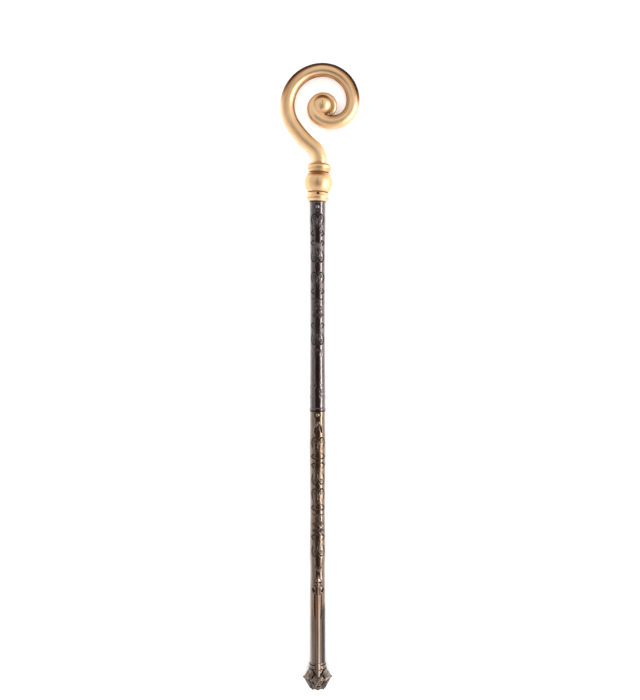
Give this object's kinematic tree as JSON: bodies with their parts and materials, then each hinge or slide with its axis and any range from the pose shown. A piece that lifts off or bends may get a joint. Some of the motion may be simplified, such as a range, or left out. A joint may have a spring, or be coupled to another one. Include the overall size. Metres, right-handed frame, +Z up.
{
  "type": "bishop crosier",
  "caption": "Costume bishop's crosier in moulded plastic: gold crook curling to a domed eye, ball knop and collars, dark bronze shaft with raised ornament and a faceted lattice foot.",
  "frame": {"origin": "middle of the underside of the crosier as it lies on its back", "axes": "+Y along the staff from the foot to the crook, +Z up from the floor, +X to the right as seen from above with the crook at the far end"},
  "size_m": [0.2138, 1.6928, 0.0757],
  "materials": {
    "gold": "satin gold metallic coat, worn brown in the creases and along the edges",
    "dark_bronze": "dark antique bronze, streaky gloss, near black in the grooves",
    "copper_bronze": "antique copper bronze, streaky gloss, red brown in the grooves",
    "stud_steel": "polished, darkened",
    "stud_brass": "antique brass, polished"
  },
  "bodies": {
    "root": {"crook_head": "gold", "upper_shaft": "dark_bronze", "lower_shaft": "copper_bronze", "button_upper": "stud_steel", "button_lower": "stud_brass"}
  },
  "joints": []
}
